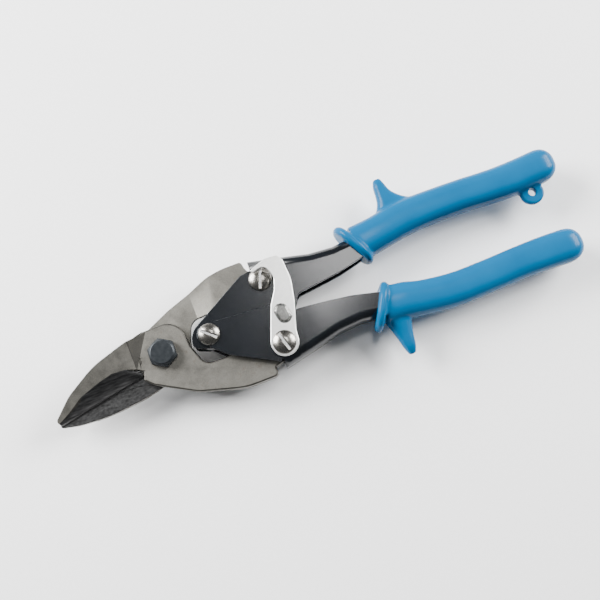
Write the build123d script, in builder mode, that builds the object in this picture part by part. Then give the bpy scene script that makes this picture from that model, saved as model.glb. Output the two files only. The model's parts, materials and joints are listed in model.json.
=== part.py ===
from build123d import *

import os
from math import atan2, degrees, hypot

# Aviation snips with compound leverage, 10 inch, drawn closed and latched.
#
# The tool lies flat. +X runs from the jaws to the grips, +Y to the upper handle,
# and +Z from the surface it lies on to its front side. All sizes are in millimetres.
# Outlines are drawn about the main pivot. Heights are counted up and down from the
# plane where the two blades meet.

# ---- driving dimensions --------------------------------------------------------------

# the main pivot, from the origin under the middle of the tool
PIVOT_X = -72.37
MID_Z = 11.5

# the linkage's other pivots, from the main pivot, with the jaws closed
HANDLE_PIVOT_X = 22.0
BLADE_PIVOT_X = 51.6
BLADE_PIVOT_Y = 15.3

# heights of the layers
LAP_GAP = 0.05
BLADE_T = 4.0
SHEET_T = 2.0
UPPER_Z = 6.1
LOWER_Z = 8.2
LATCH_Z = 8.9
LATCH_T = 1.7

# blades
JAW_STOCK = 9.0
RAMP_START = 19.2
RAMP_TILT = 20.3
RELIEF = 0.25
PIVOT_SLACK = 0.35

# bolt, screws, nuts and washers
BOLT_R = 4.0
PIN_R = 3.0
RUNNING = 0.05
BOLT_FLATS = 11.8
BOLT_HEAD_H = 4.6
BOLT_NUT_FLATS = 13.0
BOLT_NUT_H = 5.2
BOLT_WASHER_R = 8.0
BOLT_WASHER_T = 0.8
HEAD_R = 5.2
HEAD_H = 2.3
HEAD_RIM = 0.7
SLOT_W = 1.2
SLOT_DEPTH = 1.0
NUT_FLATS = 9.0
NUT_H = 3.0
THREAD_PROUD = 0.3
CHAMFER = 0.6

# handles and what turns inside them
BEND_R = 4.5
SLEEVE_R = 3.9
SPACER_R = 5.0
WAVE_WASHER_R = 6.0
WAVE_WASHER_T = 0.6
SPRING_WIRE_R = 0.85
SPRING_R = 4.95
SPRING_PITCH = 1.75
SPRING_TURNS = 2.5
SPRING_LEG = 19.0
SPRING_SPLAY = 10.0

# grips
COLLAR_TILT = 28.0
COLLAR_T = 2.6
COLLAR_L = 23.6
COLLAR_W = 19.4
COLLAR_CORNER_R = 5.0
END_R = 7.8
HORN_HALF_T = 4.2
HANG_EYE_X = 182.4
HANG_EYE_Y = 9.8
HANG_EYE_R = 5.3
HANG_EYE_T = 3.0
HANG_HOLE_R = 1.9

UPPER = 1
LOWER = -1

os.makedirs("parts", exist_ok=True)


def level(z, x=0.0, y=0.0):
    """The drawing plane at height z, with its origin at x, y from the main pivot."""
    return Plane((PIVOT_X + x, y, MID_Z + z))


def outline(*corners, side=1):
    """A closed face of straight runs. Each corner is an x, a y and a radius."""
    with BuildLine() as edge:
        FilletPolyline(*[(x, y * side) for x, y, r in corners], radius=[r for x, y, r in corners], close=True)
    make_face(edge.edges())


def tilted(plane, x, y, z, *turns):
    """A plane moved to x, y, z in another and turned there, one axis after the other."""
    place = plane.location * Location((x, y, z))
    for turn in turns:
        place = place * Location((0, 0, 0), turn)
    return Plane(place)


def finish(piece, name):
    """Label a finished piece and write it out."""
    piece.part.label = name
    export_step(piece.part, f"parts/{name}.step")


# ---- blades --------------------------------------------------------------------------

# the plane a blade slides on. Both blades are drawn as the front one, and the rear one is turned over.
LAP = level(LAP_GAP)


def hollow_grind(stations):
    """What the grinding wheel takes off a jaw's flank.

    Each station is the flank's foot, its rim, and the rim's height over the lap plane.
    """
    land_w = 0.6
    land_h = 0.9
    with BuildPart() as wheel:
        for foot_x, foot_y, rim_x, rim_y, rim_z in stations:
            width = hypot(rim_x - foot_x, rim_y - foot_y)
            heading = degrees(atan2(rim_y - foot_y, rim_x - foot_x))
            cross = tilted(LAP, foot_x, foot_y, 0, (0, 0, heading), (90, 0, 0))
            sag = (land_w + (width - land_w) * 0.5, land_h + (rim_z - land_h) * 0.3)
            with BuildSketch(cross):
                with BuildLine():
                    Line((-land_w, -land_h), (land_w, land_h))
                    ThreePointArc((land_w, land_h), sag, (width, rim_z))
                    Polyline((width, rim_z), (width + 1, rim_z + 1), (width + 1, 12), (-3, 12), (-3, -land_h))
                    Line((-3, -land_h), (-land_w, -land_h))
                make_face()
        loft(ruled=True)
    return wheel.part


def blade(body, jaw, crest, face_tilt, ramp_tilt, flank, relief, bolt_hole_r):
    """A drop-forged blade: boss plate, raised jaw, and a tail of twice the thickness.

    body and jaw are outlines on the lap plane. The jaw's outer face is tilted, starts at the
    crest, and falls to the boss plate down a flat ramp. The tail swells on its inner side.
    """
    wheel = hollow_grind(flank)
    with BuildPart() as piece:
        with BuildSketch(LAP):
            outline(*jaw)
        extrude(amount=JAW_STOCK)
        split(bisect_by=tilted(LAP, *crest, BLADE_T - LAP_GAP, *face_tilt), keep=Keep.BOTTOM)
        split(bisect_by=tilted(LAP, *crest, BLADE_T - LAP_GAP, *ramp_tilt), keep=Keep.BOTTOM)
        with BuildSketch(LAP):
            outline(*body)
        extrude(amount=BLADE_T - LAP_GAP)
        add(wheel, mode=Mode.SUBTRACT)
        with BuildSketch(LAP):
            outline(*relief)
        extrude(amount=RELIEF, mode=Mode.SUBTRACT)
    with BuildPart() as tail:
        with BuildSketch(LAP):
            outline(*body)
        extrude(amount=-BLADE_T - LAP_GAP)
        split(bisect_by=tilted(LAP, RAMP_START, 0, 0, (0, RAMP_TILT, 0)), keep=Keep.TOP)
    with BuildPart() as whole:
        add(piece.part)
        add(tail.part)
        with BuildSketch(LAP):
            Circle(bolt_hole_r)
            with Locations((BLADE_PIVOT_X, -BLADE_PIVOT_Y)):
                Circle(PIN_R + RUNNING)
        extrude(amount=JAW_STOCK, both=True, mode=Mode.SUBTRACT)
    return whole.part.solids().sort_by(SortBy.VOLUME)[-1]


# the notch round the handle pivot: deep on the front blade, shallower on the rear one
FRONT_NOTCH = [(46.0, -8.6, 4.0), (25.0, -11.4, 12.0), (15.8, -11.2, 5.5), (12.4, -1.0, 7.0)]
REAR_NOTCH = [(46.0, -8.6, 4.0), (26.0, -9.9, 8.0), (16.0, -10.1, 5.5), (12.8, -1.2, 6.5)]

front_blade_drawn = blade(
    body=[
        (-15.2, -7.2, 0),
        (-11.6, -8.6, 2.0),
        (-8.0, -12.0, 8.0),
        (9.0, -21.6, 20.0),
        (29.0, -27.4, 30.0),
        (44.8, -27.4, 2.2),
        (44.4, -23.4, 0.8),
        (49.0, -22.2, 2.0),
        (57.3, -21.0, 5.6),
        (57.3, -9.6, 5.6),
        *FRONT_NOTCH,
        (11.0, 12.6, 9.0),
        (-8.0, 12.2, 12.0),
        (-15.0, 9.3, 0),
    ],
    jaw=[
        (-2.0, 12.1, 0),
        (-15.0, 10.1, 40.0),
        (-31.0, 5.4, 40.0),
        (-45.0, -3.0, 20.0),
        (-54.0, -11.4, 1.6),
        (-52.4, -14.1, 0.6),
        (-15.2, -7.2, 0),
        (-2.0, -4.0, 0),
    ],
    crest=(-13.3, -3.3),
    face_tilt=((11.3, 0, 0), (0, -1.2, 0)),
    ramp_tilt=((11.3, 0, 0), (0, 18.0, 0)),
    flank=[
        (-11.2, -6.5, -10.6, -4.7, 4.0),
        (-15.2, -7.2, -13.6, -3.2, 4.0),
        (-19.0, -7.9, -18.0, -0.9, 4.35),
        (-25.0, -9.0, -24.4, -0.5, 4.3),
        (-33.0, -10.5, -32.2, -2.4, 3.8),
        (-41.0, -12.0, -40.3, -5.1, 3.1),
        (-48.0, -13.3, -47.5, -9.6, 2.1),
        (-55.0, -14.6, -54.8, -13.4, 1.2),
    ],
    relief=[(-6, 16, 0), (-9, 6, 4), (-16, -2, 6), (-26, -6.2, 6), (-60, -12.6, 0), (-60, 16, 0)],
    bolt_hole_r=BOLT_R,
)
with BuildPart() as front_blade:
    add(front_blade_drawn)
finish(front_blade, "front_blade")

rear_blade_drawn = blade(
    body=[
        (-13.4, 4.4, 0),
        (-12.2, 3.2, 1.0),
        (-12.2, -6.5, 8.0),
        (-6.0, -11.6, 8.0),
        (7.8, -17.9, 20.0),
        (28.6, -25.1, 30.0),
        (37.0, -26.4, 30.0),
        (46.0, -26.4, 1.5),
        (46.6, -23.4, 0.8),
        (47.6, -20.9, 1.5),
        (57.2, -20.8, 5.4),
        (57.2, -9.8, 5.4),
        *REAR_NOTCH,
        (11.6, 4.5, 9.0),
        (3.0, 12.6, 10.0),
        (-6.0, 13.6, 0),
    ],
    jaw=[
        (-2.0, 13.0, 0),
        (-15.0, 15.6, 60.0),
        (-31.0, 17.3, 60.0),
        (-45.0, 16.5, 30.0),
        (-53.6, 14.6, 1.0),
        (-52.4, 12.6, 0.5),
        (-13.4, 4.4, 0),
        (-2.0, 2.0, 0),
    ],
    crest=(-14.2, 8.2),
    face_tilt=((7.0, 0, 0), (0, -2.8, 0)),
    ramp_tilt=((7.0, 0, 0), (0, 12.0, 0)),
    flank=[
        (-11.4, 4.0, -10.7, 5.8, 4.0),
        (-15.5, 4.85, -14.2, 8.2, 4.0),
        (-19.5, 5.7, -18.4, 10.6, 4.1),
        (-26.0, 7.05, -25.2, 12.4, 4.0),
        (-34.0, 8.75, -33.3, 13.3, 3.65),
        (-42.0, 10.4, -41.6, 13.7, 3.3),
        (-49.0, 11.9, -48.8, 13.6, 2.9),
        (-55.0, 13.15, -54.9, 13.8, 2.6),
    ],
    relief=[(-2, 20, 0), (-4.6, 13.0, 4), (-14, 9.6, 12), (-24, 9.0, 12), (-60, 15.6, 0), (-60, 20, 0)],
    bolt_hole_r=BOLT_R + PIVOT_SLACK,
)
with BuildPart() as rear_blade:
    add(rear_blade_drawn.rotate(Axis((0, 0, MID_Z), (1, 0, 0)), 180))
finish(rear_blade, "rear_blade")


# ---- handles -------------------------------------------------------------------------

# stations along a handle: x, the closed side's distance from the middle, and the open side's
HANDLE_RUN = [
    (48.8, 25.6, 14.0),
    (66.0, 21.8, 3.5),
    (76.0, 19.4, 4.6),
    (87.0, 18.5, 6.1),
    (97.0, 19.5, 8.4),
    (110.0, 22.0, 12.4),
    (125.0, 24.0, 15.0),
    (150.0, 24.0, 15.4),
    (186.0, 23.4, 15.2),
]
TANG_Z = 5.0
UPPER_HALF = [UPPER_Z, UPPER_Z, UPPER_Z, UPPER_Z, UPPER_Z, 5.6, TANG_Z, TANG_Z, TANG_Z]
LOWER_HALF = [LOWER_Z, LOWER_Z, 7.9, 7.3, 6.7, 5.8, TANG_Z, TANG_Z, TANG_Z]


def run_sections(side, halves, outer_add, inner_add, half_add, bend_r, start=0):
    """Rounded sections across a handle, one at each station."""
    sections = []
    for (x, outer, inner), half in list(zip(HANDLE_RUN, halves))[start:]:
        across = Plane((PIVOT_X + x, 0, MID_Z), x_dir=(0, side, 0), z_dir=(side, 0, 0))
        high = half + half_add
        with BuildSketch(across) as section:
            outline(
                (inner + inner_add, -high, 0),
                (outer + outer_add, -high, bend_r),
                (outer + outer_add, high, bend_r),
                (inner + inner_add, high, 0),
            )
        sections.append(section.sketch.face())
    return sections


def handle(side, halves, ear):
    """A pressed steel handle: a channel open towards the other handle, ending in two ears."""
    ear_z = halves[0] - SHEET_T
    outside = run_sections(side, halves, 0, 0, 0, BEND_R)
    inside = run_sections(side, halves, -SHEET_T, -3.0, -SHEET_T, BEND_R - SHEET_T)
    with BuildPart() as pressing:
        loft(sections=outside, ruled=True)
        loft(sections=inside, ruled=True, mode=Mode.SUBTRACT)
        for way in (1, -1):
            with BuildSketch(level(way * ear_z)):
                outline(*ear, side=side)
            extrude(amount=way * SHEET_T)
        with BuildSketch(level(0)):
            for x, y in ((HANDLE_PIVOT_X, 0), (BLADE_PIVOT_X, side * BLADE_PIVOT_Y)):
                with Locations((x, y)):
                    Circle(PIN_R + RUNNING)
        extrude(amount=LOWER_Z + 1, both=True, mode=Mode.SUBTRACT)
    return pressing


upper_handle = handle(
    UPPER,
    UPPER_HALF,
    ear=[
        (13.6, -3.2, 2.5),
        (13.6, 3.3, 8.2),
        (43.5, 20.0, 3.0),
        (49.4, 20.8, 0),
        (66.0, 16.9, 0),
        (66.0, 3.5, 0),
        (64.6, 2.6, 2.0),
        (61.2, -2.6, 1.0),
        (48.0, -2.6, 10.0),
        (27.0, -5.4, 5.0),
        (19.0, -5.4, 4.0),
    ],
)
finish(upper_handle, "upper_handle")

lower_handle = handle(
    LOWER,
    LOWER_HALF,
    ear=[
        (16.6, -5.5, 5.2),
        (16.6, 1.6, 5.2),
        (27.0, 11.6, 14.0),
        (47.3, 22.4, 1.0),
        (49.4, 20.9, 0),
        (66.0, 16.9, 0),
        (66.0, 3.5, 0),
        (61.0, 3.1, 2.0),
        (51.0, -2.7, 8.0),
    ],
)
finish(lower_handle, "lower_handle")


# ---- bolt, screws, nuts and washers --------------------------------------------------

with BuildPart() as pivot_bolt:
    with BuildSketch(level(BLADE_T)):
        RegularPolygon(BOLT_FLATS / 2, 6, major_radius=False, rotation=-31)
    extrude(amount=BOLT_HEAD_H)
    with BuildSketch(level(BLADE_T)):
        Circle(BOLT_FLATS / 2 + BOLT_HEAD_H - 0.9)
    extrude(amount=BOLT_HEAD_H, taper=45, mode=Mode.INTERSECT)
    with BuildSketch(level(BLADE_T)):
        Circle(BOLT_R)
    extrude(amount=-2 * BLADE_T - BOLT_WASHER_T - BOLT_NUT_H - THREAD_PROUD - 0.1)
finish(pivot_bolt, "pivot_bolt")

WASHER_TOP = -BLADE_T - 0.1
with BuildPart() as pivot_washer:
    with BuildSketch(level(WASHER_TOP)):
        Circle(BOLT_WASHER_R)
        Circle(BOLT_R, mode=Mode.SUBTRACT)
    extrude(amount=-BOLT_WASHER_T)
finish(pivot_washer, "pivot_washer")


def nut(top, x, y, flats, height, bore_r):
    """A hexagon nut under the surface at height top, chamfered on its free side."""
    with BuildPart() as hexagon:
        with BuildSketch(level(top, x, y)):
            RegularPolygon(flats / 2, 6, major_radius=False)
        extrude(amount=-height)
        with BuildSketch(level(top, x, y)):
            Circle(flats / 2 + height - CHAMFER * 0.3)
        extrude(amount=-height, taper=45, mode=Mode.INTERSECT)
        with BuildSketch(level(top, x, y)):
            Circle(bore_r)
        extrude(amount=-height, mode=Mode.SUBTRACT)
    return hexagon


def slotted_screw(seat, x, y, nut_seat, head_r, slot_angle):
    """A domed screw with one slot, its head on seat and its shank just through the nut."""
    length = seat - nut_seat + NUT_H + THREAD_PROUD
    with BuildPart() as screw:
        with BuildSketch(Plane((PIVOT_X + x, y, MID_Z + seat), x_dir=(1, 0, 0), z_dir=(0, -1, 0))):
            with BuildLine():
                Polyline((0, HEAD_H), (0, -length), (PIN_R, -length), (PIN_R, 0), (head_r, 0), (head_r, HEAD_RIM))
                ThreePointArc((head_r, HEAD_RIM), (head_r * 0.62, HEAD_H * 0.84), (0, HEAD_H))
            make_face()
        revolve(axis=Axis((PIVOT_X + x, y, 0), (0, 0, 1)))
        with BuildSketch(level(seat + HEAD_H - SLOT_DEPTH, x, y)):
            Rectangle(head_r * 2 + 1, SLOT_W, rotation=slot_angle)
        extrude(amount=SLOT_DEPTH + 1, mode=Mode.SUBTRACT)
    return screw


pivot_nut = nut(WASHER_TOP - BOLT_WASHER_T, 0, 0, BOLT_NUT_FLATS, BOLT_NUT_H, BOLT_R)
finish(pivot_nut, "pivot_nut")

handle_pivot_screw = slotted_screw(LOWER_Z, HANDLE_PIVOT_X, 0, -LOWER_Z, HEAD_R - 0.4, -41)
finish(handle_pivot_screw, "handle_pivot_screw")
handle_pivot_nut = nut(-LOWER_Z, HANDLE_PIVOT_X, 0, NUT_FLATS, NUT_H, PIN_R)
finish(handle_pivot_nut, "handle_pivot_nut")

rear_blade_screw = slotted_screw(UPPER_Z, BLADE_PIVOT_X, BLADE_PIVOT_Y, -UPPER_Z, HEAD_R, 69)
finish(rear_blade_screw, "rear_blade_screw")
rear_blade_nut = nut(-UPPER_Z, BLADE_PIVOT_X, BLADE_PIVOT_Y, NUT_FLATS, NUT_H, PIN_R)
finish(rear_blade_nut, "rear_blade_nut")

LATCH_TOP = LATCH_Z + LATCH_T + RUNNING
front_blade_screw = slotted_screw(LATCH_TOP, BLADE_PIVOT_X, -BLADE_PIVOT_Y, -LOWER_Z, HEAD_R, -74)
finish(front_blade_screw, "front_blade_screw")
front_blade_nut = nut(-LOWER_Z, BLADE_PIVOT_X, -BLADE_PIVOT_Y, NUT_FLATS, NUT_H, PIN_R)
finish(front_blade_nut, "front_blade_nut")


def ring(z, height, x, y, outer_r, inner_r):
    """A plain ring from height z up."""
    with BuildPart() as tube:
        with BuildSketch(level(z, x, y)):
            Circle(outer_r)
            Circle(inner_r, mode=Mode.SUBTRACT)
        extrude(amount=height)
    return tube


sleeve_half = UPPER_Z - SHEET_T - RUNNING
handle_pivot_sleeve = ring(-sleeve_half, 2 * sleeve_half, HANDLE_PIVOT_X, 0, SLEEVE_R, PIN_R + RUNNING)
finish(handle_pivot_sleeve, "handle_pivot_sleeve")

spacer_t = LOWER_Z - SHEET_T - BLADE_T - 2 * RUNNING
front_spacer = ring(BLADE_T + RUNNING, spacer_t, BLADE_PIVOT_X, -BLADE_PIVOT_Y, SPACER_R, PIN_R + RUNNING)
with BuildPart() as tail_spacers:
    add(front_spacer.part)
    mirror(about=level(0))
finish(tail_spacers, "tail_spacers")

latch_wave_washer = ring(
    LOWER_Z + RUNNING, WAVE_WASHER_T, BLADE_PIVOT_X, -BLADE_PIVOT_Y, WAVE_WASHER_R, PIN_R + RUNNING
)
finish(latch_wave_washer, "latch_wave_washer")


# ---- latch ---------------------------------------------------------------------------

with BuildPart() as latch_lever:
    with BuildSketch(level(LATCH_Z)):
        outline(
            (45.6, -21.4, 6.0),
            (57.6, -21.4, 6.0),
            (58.2, -12.4, 12.0),
            (62.3, 0.5, 30.0),
            (64.2, 10.0, 20.0),
            (63.7, 19.5, 1.2),
            (62.0, 22.0, 1.2),
            (56.0, 22.6, 6.0),
            (48.2, 19.6, 0.6),
            (49.6, 18.4, 0.6),
            (55.2, 20.0, 3.0),
            (57.3, 13.5, 3.0),
            (55.6, 8.2, 4.0),
            (51.6, 1.8, 12.0),
            (45.6, -14.0, 6.0),
        )
    extrude(amount=LATCH_T)
    with BuildSketch(level(LATCH_Z + LATCH_T)):
        with Locations(Location((55.4, -3.2), -78)):
            SlotOverall(8.6, 5.8)
    extrude(amount=0.8, taper=40)
    with BuildSketch(level(LATCH_Z, BLADE_PIVOT_X, -BLADE_PIVOT_Y)):
        Circle(PIN_R + RUNNING)
    extrude(amount=LATCH_T, mode=Mode.SUBTRACT)
finish(latch_lever, "latch_lever")


# ---- opening spring ------------------------------------------------------------------

spring_turns = SPRING_TURNS - SPRING_SPLAY / 180
spring_height = SPRING_PITCH * spring_turns
coil_foot = Location((PIVOT_X + HANDLE_PIVOT_X, 0, MID_Z - spring_height / 2), (0, 0, -90 - SPRING_SPLAY))
coil = coil_foot * Helix(SPRING_PITCH, spring_height, SPRING_R, lefthand=True)
with BuildPart() as torsion_spring:
    with BuildSketch(Plane(coil @ 0, z_dir=coil % 0)):
        Circle(SPRING_WIRE_R)
    sweep(path=coil, is_frenet=True)
    for end, outward in ((coil @ 0, coil % 0 * -1), (coil @ 1, coil % 1)):
        with BuildSketch(Plane(end, z_dir=outward)):
            Circle(SPRING_WIRE_R)
        extrude(amount=SPRING_LEG)
finish(torsion_spring, "torsion_spring")


# ---- grips ---------------------------------------------------------------------------

# stations along a grip: x, distance from the middle, half width, half thickness, tilt
GRIP_RUN = [
    (98.4, 16.2, 9.4, 9.2, COLLAR_TILT),
    (109.0, 17.0, 8.2, 8.2, 10.0),
    (120.0, 18.9, 7.9, 7.7, 6.0),
    (134.0, 19.7, 7.7, 7.5, 0.0),
    (150.0, 19.5, 7.6, 7.4, 0.0),
    (165.0, 18.9, 7.6, 7.4, 0.0),
    (178.0, 18.9, 7.7, 7.6, 0.0),
]


def grip(side, halves, lift, shift, end_x, horn, eye):
    """A dipped vinyl sleeve on a handle, with a collar and a horn that keeps the hand back."""
    collar_x = GRIP_RUN[0][0] + shift
    collar_y = GRIP_RUN[0][1] + lift
    end_y = GRIP_RUN[-1][1] + lift + 0.4
    cavity = run_sections(side, halves, RUNNING, -RUNNING, RUNNING, BEND_R + RUNNING, start=3)
    with BuildPart() as sleeve:
        for x, y, half_w, half_t, tilt in GRIP_RUN:
            across = tilted(
                Plane((PIVOT_X + x + shift, side * (y + lift), MID_Z), x_dir=(0, side, 0), z_dir=(side, 0, 0)),
                0, 0, 0, (0, side * tilt, 0),
            )
            with BuildSketch(across):
                Ellipse(half_w, half_t)
        with BuildSketch(Plane((PIVOT_X + end_x - END_R, side * end_y, MID_Z), x_dir=(0, side, 0), z_dir=(side, 0, 0))):
            Circle(END_R)
        loft()
        with Locations((PIVOT_X + end_x - END_R, side * end_y, MID_Z)):
            Sphere(END_R)
        collar = tilted(
            Plane((PIVOT_X + collar_x - 0.6, side * collar_y, MID_Z), x_dir=(0, side, 0), z_dir=(side, 0, 0)),
            0, 0, 0, (0, side * COLLAR_TILT, 0),
        )
        with BuildSketch(collar):
            RectangleRounded(COLLAR_L, COLLAR_W, COLLAR_CORNER_R)
        extrude(amount=COLLAR_T / 2, both=True)
        with BuildSketch(level(0)):
            outline(*horn, side=side)
        extrude(amount=HORN_HALF_T, both=True)
        if eye:
            with BuildSketch(level(-HANG_EYE_T / 2, HANG_EYE_X, HANG_EYE_Y)):
                Circle(HANG_EYE_R)
            extrude(amount=HANG_EYE_T)
        loft(sections=cavity, ruled=True, mode=Mode.SUBTRACT)
        if eye:
            with BuildSketch(level(0, HANG_EYE_X, HANG_EYE_Y)):
                Circle(HANG_HOLE_R)
            extrude(amount=HANG_EYE_T, both=True, mode=Mode.SUBTRACT)
    return sleeve


upper_grip = grip(
    UPPER,
    UPPER_HALF,
    lift=0.5,
    shift=-1.2,
    end_x=198.3,
    horn=[
        (108.0, 18.0, 0),
        (108.0, 24.4, 4.0),
        (114.6, 26.2, 4.0),
        (115.7, 41.3, 1.6),
        (119.0, 41.3, 1.6),
        (122.0, 30.6, 6.0),
        (133.0, 26.6, 6.0),
        (133.0, 18.0, 0),
    ],
    eye=True,
)
finish(upper_grip, "upper_grip")

lower_grip = grip(
    LOWER,
    LOWER_HALF,
    lift=-0.5,
    shift=0.6,
    end_x=194.9,
    horn=[
        (97.6, 18.0, 0),
        (98.2, 22.8, 2.0),
        (102.0, 41.3, 1.4),
        (105.6, 41.3, 1.4),
        (107.6, 24.6, 3.0),
        (114.0, 18.0, 0),
    ],
    eye=False,
)
finish(lower_grip, "lower_grip")
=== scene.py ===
import json
from math import cos, pi, radians, sin

import bmesh
import bpy
from mathutils import Matrix, Vector

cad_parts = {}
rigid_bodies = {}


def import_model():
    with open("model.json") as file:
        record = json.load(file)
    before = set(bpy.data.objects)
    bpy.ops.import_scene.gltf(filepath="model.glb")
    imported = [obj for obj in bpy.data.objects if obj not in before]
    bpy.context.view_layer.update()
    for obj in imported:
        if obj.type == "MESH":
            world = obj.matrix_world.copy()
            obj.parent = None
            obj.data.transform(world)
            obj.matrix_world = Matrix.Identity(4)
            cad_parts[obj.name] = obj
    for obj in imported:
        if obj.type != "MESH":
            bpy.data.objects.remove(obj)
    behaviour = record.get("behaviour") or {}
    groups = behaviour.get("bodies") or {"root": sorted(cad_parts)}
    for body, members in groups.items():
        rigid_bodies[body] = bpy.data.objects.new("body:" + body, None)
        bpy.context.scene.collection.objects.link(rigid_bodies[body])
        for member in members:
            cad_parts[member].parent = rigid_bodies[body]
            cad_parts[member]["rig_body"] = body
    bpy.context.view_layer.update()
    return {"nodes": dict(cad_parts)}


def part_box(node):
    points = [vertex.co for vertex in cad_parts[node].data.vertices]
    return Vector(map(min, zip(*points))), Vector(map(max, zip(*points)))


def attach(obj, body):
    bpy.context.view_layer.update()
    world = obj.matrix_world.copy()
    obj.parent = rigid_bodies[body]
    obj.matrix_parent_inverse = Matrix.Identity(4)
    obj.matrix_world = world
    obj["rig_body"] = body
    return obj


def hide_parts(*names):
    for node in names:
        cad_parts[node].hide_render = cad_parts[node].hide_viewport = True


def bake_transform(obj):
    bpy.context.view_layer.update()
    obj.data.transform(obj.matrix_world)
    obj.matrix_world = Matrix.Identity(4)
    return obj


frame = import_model()
MM = 0.001

# the main pivot, half way between the two blades: positions below are in millimetres from it
washer_low, washer_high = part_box("pivot_washer")
WASHER_BELOW_LAP = 4.1
PIVOT = (washer_low + washer_high) / 2
PIVOT.z = washer_high.z + WASHER_BELOW_LAP * MM


def at(x, y, z=0.0):
    """A point in metres from its place in millimetres about the main pivot."""
    return PIVOT + Vector((x, y, z)) * MM


# ---- camera, floor and light ---------------------------------------------------------
# A hand-held phone looks down on the tool from about 0.4 m, leaning ten degrees from
# upright. The tool's long axis runs up to the right in the picture. The floor is white
# card, lit by a large window-like panel and a smaller one from behind the camera.

TOOL_TURN = Matrix.Rotation(radians(-21.0), 3, "Z")
aim = at(0, 0, -11.5) + TOOL_TURN @ Vector((60.35, 24.54, 11.5)) * MM
eye = aim + TOOL_TURN @ Vector((0, -69.5, 393.9)) * MM
camera = bpy.data.objects.new("camera", bpy.data.cameras.new("camera"))
camera.data.lens = 53.34
camera.data.sensor_width = 36
camera.data.clip_start = 0.01
back = (eye - aim).normalized()
right = (TOOL_TURN @ Vector((0, 1, 0))).cross(back).normalized()
camera.matrix_world = Matrix.Translation(eye) @ Matrix((right, back.cross(right), back)).transposed().to_4x4()
bpy.context.scene.collection.objects.link(camera)
bpy.context.scene.camera = camera


def tree_node(tree, kind, **values):
    """Adds a shader node. Values are its properties, or its inputs where a socket has that name."""
    made = tree.nodes.new(kind)
    for key, value in values.items():
        socket = made.inputs.get(key.replace("_", " "))
        if socket is not None:
            socket.default_value = value
        else:
            setattr(made, key, value)
    return made


def principled(name, color, roughness, metallic=0.0):
    """A new material with its Principled shader set, and its node tree."""
    made = bpy.data.materials.new(name)
    made.use_nodes = True
    shader = made.node_tree.nodes["Principled BSDF"]
    shader.inputs["Base Color"].default_value = (*color, 1)
    shader.inputs["Roughness"].default_value = roughness
    shader.inputs["Metallic"].default_value = metallic
    return made, made.node_tree, shader


def in_mm(tree):
    """Object coordinates in millimetres."""
    place = tree_node(tree, "ShaderNodeTexCoord")
    scale = tree_node(tree, "ShaderNodeVectorMath", operation="SCALE")
    scale.inputs["Scale"].default_value = 1000
    tree.links.new(place.outputs["Object"], scale.inputs[0])
    return scale.outputs[0]


def noise(tree, vector, scale, detail=4.0, stretch=None, rough=0.5):
    """Noise of that many cells per millimetre, drawn out along one axis if stretch is given."""
    if stretch:
        mapping = tree_node(tree, "ShaderNodeMapping", Scale=stretch)
        tree.links.new(vector, mapping.inputs["Vector"])
        vector = mapping.outputs[0]
    made = tree_node(tree, "ShaderNodeTexNoise", Scale=scale, Detail=detail, Roughness=rough)
    tree.links.new(vector, made.inputs["Vector"])
    return made.outputs["Fac"]


def ramp(tree, factor, *stops):
    """A colour ramp. Each stop is a position and a colour or a grey."""
    made = tree_node(tree, "ShaderNodeValToRGB")
    while len(made.color_ramp.elements) < len(stops):
        made.color_ramp.elements.new(0.5)
    for element, (place, color) in zip(made.color_ramp.elements, stops):
        element.position = place
        element.color = (*color, 1) if isinstance(color, tuple) else (color, color, color, 1)
    tree.links.new(factor, made.inputs["Fac"])
    return made.outputs["Color"]


def bump(tree, shader, height, strength, distance):
    """Bumps the shader's surface, on top of any bump that it already has."""
    made = tree_node(tree, "ShaderNodeBump", Strength=strength, Distance=distance * MM)
    tree.links.new(height, made.inputs["Height"])
    if shader.inputs["Normal"].links:
        tree.links.new(shader.inputs["Normal"].links[0].from_socket, made.inputs["Normal"])
    tree.links.new(made.outputs[0], shader.inputs["Normal"])


card, tree, shader = principled("white_card", (0.93, 0.93, 0.93), 0.9)
fibres = noise(tree, in_mm(tree), 0.6)
tree.links.new(ramp(tree, fibres, (0.3, 0.915), (0.7, 0.94)), shader.inputs["Base Color"])
bump(tree, shader, fibres, 0.05, 0.05)
floor_mesh = bpy.data.meshes.new("floor")
FLOOR = 3.0
corners = [(-FLOOR, -FLOOR, 0), (FLOOR, -FLOOR, 0), (FLOOR, FLOOR, 0), (-FLOOR, FLOOR, 0)]
floor_mesh.from_pydata(corners, [], [(0, 1, 2, 3)])
floor = bpy.data.objects.new("floor", floor_mesh)
floor_mesh.materials.append(card)
bpy.context.scene.collection.objects.link(floor)

world = bpy.data.worlds.new("studio")
bpy.context.scene.world = world
world.use_nodes = True
world.node_tree.nodes["Background"].inputs["Color"].default_value = (0.95, 0.97, 1.0, 1)
world.node_tree.nodes["Background"].inputs["Strength"].default_value = 0.16


def panel(name, place, size, watts):
    """A square soft light that faces the middle of the tool. Its place is in camera-plane millimetres."""
    data = bpy.data.lights.new(name, "AREA")
    data.size = size * MM
    data.energy = watts
    made = bpy.data.objects.new(name, data)
    spot = aim + TOOL_TURN @ Vector(place) * MM
    made.matrix_world = Matrix.Translation(spot) @ (spot - aim).to_track_quat("Z", "Y").to_matrix().to_4x4()
    bpy.context.scene.collection.objects.link(made)


panel("sheen_panel", (55, 175, 640), 110, 0.9)
panel("left_panel", (-800, 300, 450), 600, 42)
panel("right_panel", (800, 500, 500), 600, 34)


# ---- blades --------------------------------------------------------------------------
# Drop-forged tool steel, tumbled to a soft grey. Forging draft shows as a rounded band along the
# boss plate's edge. That band and the ramps between the levels take a darker copy of the steel,
# painted shade. The hollow-ground flanks and the lap faces show grinding streaks, painted dark as shade.


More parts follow.
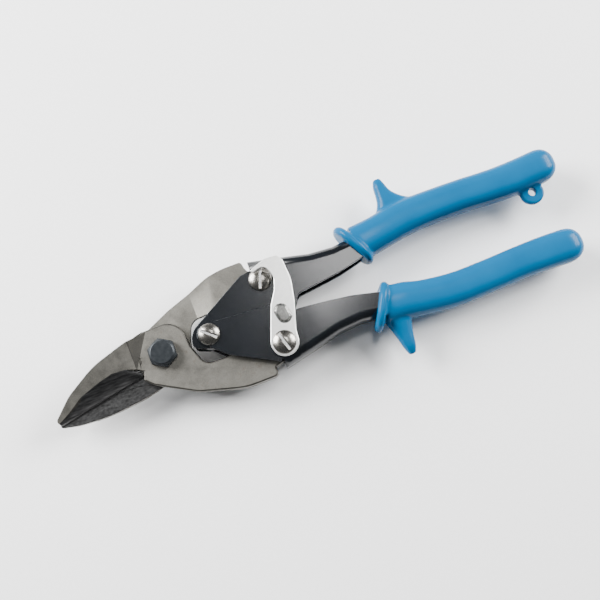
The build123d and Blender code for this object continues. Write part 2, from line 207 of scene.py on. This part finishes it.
def add_object(name, mesh, body, *materials):
    """A new piece that rides on a body."""
    made = bpy.data.objects.new(name, mesh)
    bpy.context.scene.collection.objects.link(made)
    mesh.materials.clear()
    for material in materials:
        mesh.materials.append(material)
    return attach(made, body)


def baked(made):
    """Applies an object's modifiers to its mesh."""
    bpy.context.view_layer.update()
    result = bpy.data.meshes.new_from_object(made.evaluated_get(bpy.context.evaluated_depsgraph_get()))
    made.modifiers.clear()
    old = made.data
    made.data = result
    bpy.data.meshes.remove(old)


def eased(node, edge_mm, *materials, weight=None, segments=2, angle=30, edge_slot=-1):
    """Stands in for a CAD node with its sharp edges rounded. weight(edge) scales edge_mm, edge by edge."""
    source = frame["nodes"][node]
    mesh = source.data.copy()
    shape = bmesh.new()
    shape.from_mesh(mesh)
    bmesh.ops.remove_doubles(shape, verts=shape.verts, dist=0.002 * MM)
    bmesh.ops.dissolve_limit(shape, angle_limit=radians(0.6), verts=shape.verts, edges=shape.edges)
    if weight:
        layer = shape.edges.layers.float.new("bevel_weight_edge")
        for edge in shape.edges:
            sharp = len(edge.link_faces) == 2 and edge.calc_face_angle(0) > radians(angle)
            edge[layer] = weight(edge) if sharp else 0.0
    shape.to_mesh(mesh)
    shape.free()
    mesh.name = node + "_eased"
    mesh.shade_smooth()
    made = add_object(node + "_eased", mesh, source["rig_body"], *materials)
    rounding = made.modifiers.new("edges", "BEVEL")
    rounding.width = edge_mm * MM
    rounding.segments = segments
    rounding.limit_method = "WEIGHT" if weight else "ANGLE"
    rounding.angle_limit = radians(angle)
    rounding.use_clamp_overlap = False
    rounding.material = edge_slot
    flatten = made.modifiers.new("flatten", "WEIGHTED_NORMAL")
    flatten.weight = 80
    baked(made)
    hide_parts(node)
    return made


def mix(tree, factor, first, second, blend="MIX"):
    """Two colours mixed by a factor, which is a socket or a number."""
    made = tree_node(tree, "ShaderNodeMix", data_type="RGBA", blend_type=blend)
    for socket, value in ((made.inputs[0], factor), (made.inputs[6], first), (made.inputs[7], second)):
        if hasattr(value, "links"):
            tree.links.new(value, socket)
        else:
            socket.default_value = value
    return made.outputs[2]


def tumbled_steel(name, dark, light, fleck):
    """Forged steel after tumbling: cloudy, finely grained, with brown stains."""
    made, tree, shader = principled(name, light, 0.45, 1.0)
    mm = in_mm(tree)
    cloud = noise(tree, mm, 0.09, 5, rough=0.6)
    grain = noise(tree, mm, 2.6, 3)
    stain = noise(tree, mm, 0.28, 6, rough=0.7)
    tone = ramp(tree, cloud, (0.3, dark), (0.7, light))
    tone = mix(tree, ramp(tree, stain, (0.60, 0.0), (0.72, 0.6)), tone, (0.09, 0.07, 0.05, 1))
    tone = mix(tree, ramp(tree, grain, (0.35, 0.0), (0.65, 0.4)), tone, (*fleck, 1))
    tree.links.new(tone, shader.inputs["Base Color"])
    tree.links.new(ramp(tree, stain, (0.3, 0.40), (0.75, 0.56)), shader.inputs["Roughness"])
    bump(tree, shader, grain, 0.25, 0.04)
    return made


def ground_steel(name, dark, light, along):
    """Steel straight off the grinding wheel, with fine streaks. along stretches them."""
    made, tree, shader = principled(name, (light, light, light), 0.38, 1.0)
    streaks = noise(tree, in_mm(tree), 1.4, 5, stretch=along, rough=0.65)
    tree.links.new(ramp(tree, streaks, (0.3, dark), (0.72, light)), shader.inputs["Base Color"])
    tree.links.new(ramp(tree, streaks, (0.3, 0.30), (0.7, 0.48)), shader.inputs["Roughness"])
    bump(tree, shader, streaks, 0.3, 0.03)
    return made


tumbled = tumbled_steel("tumbled_steel", (0.115, 0.111, 0.098), (0.185, 0.179, 0.160), (0.25, 0.24, 0.215))
# a darker copy of the tumbled steel for the ramps and the rounded rims: painted shade
ramp_and_rim_shade_steel = tumbled_steel(
    "ramp_and_rim_painted_shade", (0.05, 0.048, 0.043), (0.075, 0.072, 0.065), (0.10, 0.097, 0.088)
)
# hollow-ground flanks: real grinding streaks on a tone painted dark as shade
flank_shade_steel = ground_steel("ground_flank_painted_shade", 0.05, 0.13, (0.12, 1.0, 1.0))
# lap faces: grinding streaks on a tone painted dark as shade between the jaws
lap_shade_steel = ground_steel("ground_lap_face_painted_shade", 0.045, 0.085, (0.5, 1.0, 1.0))


def forged_edge(sign):
    """Full rounding on the boss plate's rim, a light touch elsewhere. sign is the plate's side."""

    def weight(edge):
        a, b = edge.verts
        heights = [sign * (v.co.z - PIVOT.z) / MM for v in (a, b)]
        reach = min(v.co.x for v in (a, b)) - PIVOT.x
        rim = all(abs(h - 4) < 0.1 for h in heights)
        if rim and reach > -14.5 * MM:
            return 1.0
        if min(heights) > 4.2 and reach > -52 * MM:
            return 0.5
        return 0.12

    return weight


STEELS = (tumbled, ramp_and_rim_shade_steel, flank_shade_steel, lap_shade_steel)
HEEL_X = -11.5
# the rounded edge faces take slot 1, the darker copy: painted shade along the rims
front_blade = eased("front_blade", 0.75, *STEELS, weight=forged_edge(1), segments=3, edge_slot=1)
rear_blade = eased("rear_blade", 0.75, *STEELS, weight=forged_edge(-1), segments=3, edge_slot=1)
FRONT_JAW_NORMAL = Vector((-0.021, -0.2, 1.0)).normalized()
REAR_JAW_NORMAL = Vector((-0.049, 0.122, -0.991)).normalized()
for blade, side, jaw_normal in ((front_blade, 1, FRONT_JAW_NORMAL), (rear_blade, -1, REAR_JAW_NORMAL)):
    for face in blade.data.polygons:
        spot = (face.center - PIVOT) / MM
        height = spot.z * side
        outward = face.normal.z * side
        hollow = face.normal.angle(jaw_normal) > radians(2.2)
        # ramps: the darker copy, painted shade
        if abs(face.normal.x) > 0.16 and outward > 0.8 and height > 0.5:
            face.material_index = 1
        # hollow flanks: grinding streaks, painted dark as shade
        elif spot.x < HEEL_X and height > 0.12 and outward > 0.2 and hollow:
            face.material_index = 2
        # lap face: grinding streaks, painted dark as shade
        elif spot.x < HEEL_X and abs(height) < 0.6 and outward < -0.8:
            face.material_index = 3


# ---- pivot bolt, washer and nut ------------------------------------------------------
# A black-oxide hexagon bolt, the only fastener on the front that takes a spanner.

oxide, tree, shader = principled("black_oxide", (0.035, 0.042, 0.046), 0.42, 0.6)
mm = in_mm(tree)
grain = noise(tree, mm, 3.0, 3)
wear_and_highlight_mottle = noise(tree, mm, 0.5, 5)
tone = ramp(tree, wear_and_highlight_mottle, (0.35, (0.012, 0.015, 0.018)), (0.75, (0.026, 0.030, 0.034)))
tree.links.new(tone, shader.inputs["Base Color"])
tree.links.new(ramp(tree, grain, (0.3, 0.36), (0.7, 0.46)), shader.inputs["Roughness"])
bump(tree, shader, grain, 0.15, 0.02)
for name in ("pivot_bolt", "pivot_nut", "pivot_washer"):
    eased(name, 0.25, oxide)


# ---- handles -------------------------------------------------------------------------
# Pressed steel channels with a black satin finish that scatters a broad grey sheen off
# the flat ears.

satin, tree, shader = principled("black_satin", (0.012, 0.015, 0.02), 0.36, 0.0)
mm = in_mm(tree)
grain = noise(tree, mm, 5.0, 2)
cloud = noise(tree, mm, 0.12, 4)
tone = ramp(tree, cloud, (0.3, (0.002, 0.003, 0.004)), (0.7, (0.004, 0.005, 0.007)))
tree.links.new(tone, shader.inputs["Base Color"])
tree.links.new(ramp(tree, grain, (0.25, 0.17), (0.75, 0.27)), shader.inputs["Roughness"])
bump(tree, shader, grain, 0.3, 0.02)
# a lighter metal on the rounded sheet edges: painted highlight where the edges catch light
edge_highlight_metal, tree, shader = principled("painted_edge_highlight", (0.06, 0.065, 0.07), 0.3, 1.0)
wear_and_highlight_mottle = noise(tree, in_mm(tree), 0.8, 5)
tone = ramp(tree, wear_and_highlight_mottle, (0.35, (0.03, 0.033, 0.036)), (0.7, (0.14, 0.145, 0.15)))
tree.links.new(tone, shader.inputs["Base Color"])
CHANNEL_MOUTH = PIVOT.x + 48.8 * MM


def highlit_sheet_edge(edge):
    """The sheet's edges are rounded and carry a painted highlight, but the sheared end of each channel stays
    sharp.
    """
    return 0.0 if all(abs(v.co.x - CHANNEL_MOUTH) < 0.4 * MM for v in edge.verts) else 1.0


for name in ("upper_handle", "lower_handle"):
    # the bevel faces take slot 1: painted edge highlight
    eased(name, 0.2, satin, edge_highlight_metal, weight=highlit_sheet_edge, edge_slot=1)


# ---- screws and their nuts -----------------------------------------------------------
# Nickel-plated domed screws with one slot each, and plain hexagon nuts behind.

nickel, tree, shader = principled("nickel_plate", (0.72, 0.70, 0.66), 0.2, 1.0)
mm = in_mm(tree)
scuff_and_light_mottle = noise(tree, mm, 1.2, 6, rough=0.65)
tone = ramp(tree, scuff_and_light_mottle, (0.3, (0.27, 0.26, 0.24)), (0.75, (0.16, 0.15, 0.135)))
tree.links.new(tone, shader.inputs["Base Color"])
tree.links.new(ramp(tree, scuff_and_light_mottle, (0.3, 0.22), (0.8, 0.36)), shader.inputs["Roughness"])
bump(tree, shader, scuff_and_light_mottle, 0.08, 0.02)
# a bright copy of the nickel for the slot floors: painted reflection of the lamp
slot_highlight, tree, shader = principled("slot_painted_reflection", (0.8, 0.8, 0.78), 0.4, 1.0)
scuff_and_light_mottle = noise(tree, in_mm(tree), 2.0, 3)
tree.links.new(ramp(tree, scuff_and_light_mottle, (0.3, 0.62), (0.7, 0.9)), shader.inputs["Base Color"])
SLOT_DEPTHS = 0.5, 1.7
for name in ("handle_pivot", "rear_blade", "front_blade"):
    screw = eased(name + "_screw", 0.15, nickel, slot_highlight)
    crown = max(vertex.co.z for vertex in screw.data.vertices)
    # slot floors take the bright copy: painted reflection
    for face in screw.data.polygons:
        if face.normal.z > 0.995 and SLOT_DEPTHS[0] < (crown - face.center.z) / MM < SLOT_DEPTHS[1]:
            face.material_index = 1
    eased(name + "_nut", 0.15, nickel)


# ---- latch, sleeve, spacers, wave washer ---------------------------------------------
# The latch is bright zinc-plated strip with a hook at one end and a thumb nub.

zinc, tree, shader = principled("zinc_plate", (0.85, 0.85, 0.83), 0.28, 1.0)
mm = in_mm(tree)
scuff_and_light_mottle = noise(tree, mm, 0.7, 6, rough=0.6)
tone = ramp(tree, scuff_and_light_mottle, (0.3, (0.86, 0.86, 0.84)), (0.75, (0.78, 0.78, 0.76)))
tree.links.new(tone, shader.inputs["Base Color"])
tree.links.new(ramp(tree, scuff_and_light_mottle, (0.3, 0.34), (0.8, 0.42)), shader.inputs["Roughness"])
bump(tree, shader, scuff_and_light_mottle, 0.05, 0.02)
# a darker copy of the zinc for the domed thumb nub: painted shade
nub_shade_zinc, tree, shader = principled("nub_painted_shade", (0.36, 0.36, 0.35), 0.3, 1.0)
scuff_and_light_mottle = noise(tree, in_mm(tree), 1.0, 5)
tone = ramp(tree, scuff_and_light_mottle, (0.3, (0.12, 0.12, 0.115)), (0.7, (0.22, 0.22, 0.21)))
tree.links.new(tone, shader.inputs["Base Color"])
bump(tree, shader, scuff_and_light_mottle, 0.2, 0.05)
for name, edge in (("latch_lever", 0.35), ("handle_pivot_sleeve", 0.2), ("tail_spacers", 0.2)):
    eased(name, edge, zinc, nub_shade_zinc)
NUB_FOOT = 10.63
latch = bpy.data.objects["latch_lever_eased"]
# faces above the nub's foot take the darker copy: painted shade on the dome
for face in latch.data.polygons:
    if (face.center.z - PIVOT.z) / MM > NUB_FOOT:
        face.material_index = 1

wire, tree, shader = principled("spring_wire", (0.30, 0.30, 0.29), 0.35, 1.0)
mm = in_mm(tree)
drawn = noise(tree, mm, 2.0, 4)
tree.links.new(ramp(tree, drawn, (0.3, 0.2), (0.7, 0.36)), shader.inputs["Base Color"])
bump(tree, shader, drawn, 0.2, 0.02)
eased("latch_wave_washer", 0.1, wire)
spring = eased("torsion_spring", 0.1, wire)
spring.parent = None
spring.matrix_world = Matrix.Identity(4)
del spring["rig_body"]
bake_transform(spring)


# ---- grips ---------------------------------------------------------------------------
# Glossy blue vinyl, dipped over the ends of the handles. Each has a collar that leans
# outward and a horn that keeps the hand off the jaws. The upper one has a hanging eyelet.

vinyl, tree, shader = principled("blue_vinyl", (0.0, 0.24, 0.62), 0.28)
mm = in_mm(tree)
skin = noise(tree, mm, 0.5, 3)
cloud = noise(tree, mm, 0.06, 3)
tone = ramp(tree, cloud, (0.3, (0.0, 0.075, 0.18)), (0.7, (0.0, 0.088, 0.205)))
tree.links.new(tone, shader.inputs["Base Color"])
tree.links.new(ramp(tree, skin, (0.3, 0.23), (0.7, 0.25)), shader.inputs["Roughness"])
shader.inputs["Specular IOR Level"].default_value = 0.1
bump(tree, shader, skin, 0.02, 0.1)


def rings(shape, sections, steps=40, power=2.0):
    """Skins a closed tube. A section is a centre and two half-axes, in millimetres about the pivot."""
    loops = []
    for centre, across, up in sections:
        loop = []
        for step in range(steps):
            turn = 2 * pi * step / steps
            c, s = cos(turn), sin(turn)
            a = abs(c) ** (2 / power) * (1 if c > 0 else -1)
            b = abs(s) ** (2 / power) * (1 if s > 0 else -1)
            loop.append(shape.verts.new(at(*(Vector(centre) + Vector(across) * a + Vector(up) * b))))
        loops.append(loop)
    for first, second in zip(loops, loops[1:]):
        for i in range(steps):
            shape.faces.new((first[i], first[i - 1], second[i - 1], second[i]))
    shape.faces.new(loops[0])
    shape.faces.new(list(reversed(loops[-1])))


def smooth_run(rows, count):
    """Catmull-Rom values between rows of numbers, for an even, smooth run of sections."""
    made = []
    for k in range(count):
        t = k / (count - 1) * (len(rows) - 1)
        i = min(int(t), len(rows) - 2)
        f = t - i
        p = [rows[max(0, min(len(rows) - 1, i + d))] for d in (-1, 0, 1, 2)]
        made.append([
            0.5 * (2 * b + (c - a) * f + (2 * a - 5 * b + 4 * c - d) * f * f
                   + (3 * b - a - 3 * c + d) * f ** 3)
            for a, b, c, d in zip(*p)
        ])
    return made


EYELET_R = 1.9


def grip(name, side, run, end, collar, horn, eyelet):
    """One grip: sleeve, rounded end, collar, horn and eyelet, melted together with soft fillets."""
    shape = bmesh.new()
    rows = smooth_run(run, 40)
    sections = []
    for i, (x, y, half_w, half_t) in enumerate(rows):
        x0, y0 = rows[max(i - 1, 0)][:2]
        x1, y1 = rows[min(i + 1, 39)][:2]
        along = Vector((x1 - x0, y1 - y0, 0)).normalized()
        sections.append(((x, y, 0), Vector((-along.y, along.x, 0)) * half_w, Vector((0, 0, half_t))))
    end_x, end_y, end_r = end
    for turn in (0, 15, 30, 45, 60, 75, 86):
        r = end_r * cos(radians(turn))
        tip = (end_x + end_r * sin(radians(turn)), end_y, 0)
        sections.append((tip, Vector((0, r, 0)), Vector((0, 0, r * 0.97))))
    rings(shape, sections, power=2.8)
    cx, cy, tilt, half_l, half_w, thick = collar
    along = Vector((cos(radians(tilt)), side * sin(radians(tilt)), 0))
    out = Vector((-along.y, along.x, 0))
    lip = []
    for turn in range(-90, 91, 20):
        offset = thick / 2 * sin(radians(turn))
        inset = thick / 2 * (1 - cos(radians(turn)))
        middle = Vector((cx, cy, 0)) + along * offset
        lip.append((middle, out * (half_l - inset), Vector((0, 0, half_w - inset))))
    rings(shape, lip, power=2.5)
    horn_rows = smooth_run(horn, 26)
    horn_rings = []
    for y, a, b, half in horn_rows:
        horn_rings.append((((a + b) / 2, y, 0), Vector(((b - a) / 2, 0, 0)), Vector((0, 0, half))))
    rings(shape, horn_rings, power=2.6)
    if eyelet:
        ex, ey, outer, half = eyelet
        disc = [((ex, ey, z), Vector((r, 0, 0)), Vector((0, r, 0))) for z, r in
                ((-half, outer - 0.5), (-half + 0.4, outer), (half - 0.4, outer), (half, outer - 0.5))]
        rings(shape, disc)
    bmesh.ops.recalc_face_normals(shape, faces=shape.faces)
    mesh = bpy.data.meshes.new(name + "_sleeve")
    shape.to_mesh(mesh)
    shape.free()
    made = add_object(name + "_sleeve", mesh, frame["nodes"][name]["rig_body"], vinyl)
    melt = made.modifiers.new("melt", "REMESH")
    melt.mode = "VOXEL"
    melt.voxel_size = 0.4 * MM
    soft = made.modifiers.new("soft", "SMOOTH")
    soft.factor = 0.6
    soft.iterations = 22
    baked(made)
    if eyelet:
        cutter_mesh = bpy.data.meshes.new("eyelet_cutter")
        shape = bmesh.new()
        bore = [((ex, ey, z), Vector((EYELET_R, 0, 0)), Vector((0, EYELET_R, 0))) for z in (-5, 5)]
        rings(shape, bore, steps=48)
        bmesh.ops.recalc_face_normals(shape, faces=shape.faces)
        shape.to_mesh(cutter_mesh)
        shape.free()
        cutter = bpy.data.objects.new("eyelet_cutter", cutter_mesh)
        bpy.context.scene.collection.objects.link(cutter)
        hole = made.modifiers.new("hole", "BOOLEAN")
        hole.object = cutter
        hole.operation = "DIFFERENCE"
        hole.solver = "EXACT"
        baked(made)
        bpy.data.objects.remove(cutter)
    made.data.shade_smooth()
    made.data.materials.clear()
    made.data.materials.append(vinyl)
    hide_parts(name)
    return made


upper_grip = grip(
    "upper_grip", 1,
    run=[
        (97.6, 15.9, 8.4, 8.2), (108.7, 17.4, 8.0, 8.3), (121.0, 19.6, 8.1, 7.9),
        (132.0, 20.2, 7.75, 7.6), (150.0, 20.1, 7.55, 7.5), (165.0, 19.3, 7.65, 7.5),
        (177.0, 19.2, 7.9, 7.6), (190.0, 20.1, 7.85, 7.6),
    ],
    end=(190.2, 20.1, 7.8),
    collar=(96.6, 15.9, 28, 11.6, 10.4, 3.9),
    horn=[
        (19.0, 107.0, 131.0, 5.5), (23.5, 108.5, 131.0, 5.2), (26.5, 111.8, 131.0, 4.8),
        (30.0, 113.9, 125.8, 4.4), (34.0, 114.7, 122.0, 3.9), (38.0, 115.1, 120.6, 3.3),
        (41.2, 116.2, 119.6, 1.9),
    ],
    eyelet=(182.4, 9.8, 5.6, 1.7),
)
lower_grip = grip(
    "lower_grip", -1,
    run=[
        (98.8, -14.9, 8.4, 8.2), (108.0, -15.7, 8.4, 8.3), (117.0, -17.5, 7.9, 7.9),
        (132.0, -19.2, 7.75, 7.6), (148.0, -19.0, 7.6, 7.5), (164.0, -18.4, 7.6, 7.5),
        (176.0, -18.4, 7.8, 7.6), (187.0, -18.8, 7.85, 7.6),
    ],
    end=(187.0, -18.8, 7.8),
    collar=(98.0, -14.9, 28, 11.6, 10.4, 3.9),
    horn=[
        (-16.0, 96.5, 112.0, 5.2), (-22.8, 97.4, 109.3, 5.0), (-29.7, 99.3, 107.3, 4.2),
        (-35.9, 100.7, 106.2, 3.4), (-39.5, 102.0, 104.9, 1.9),
    ],
    eyelet=None,
)


# ---- finish --------------------------------------------------------------------------

bpy.context.view_layer.update()
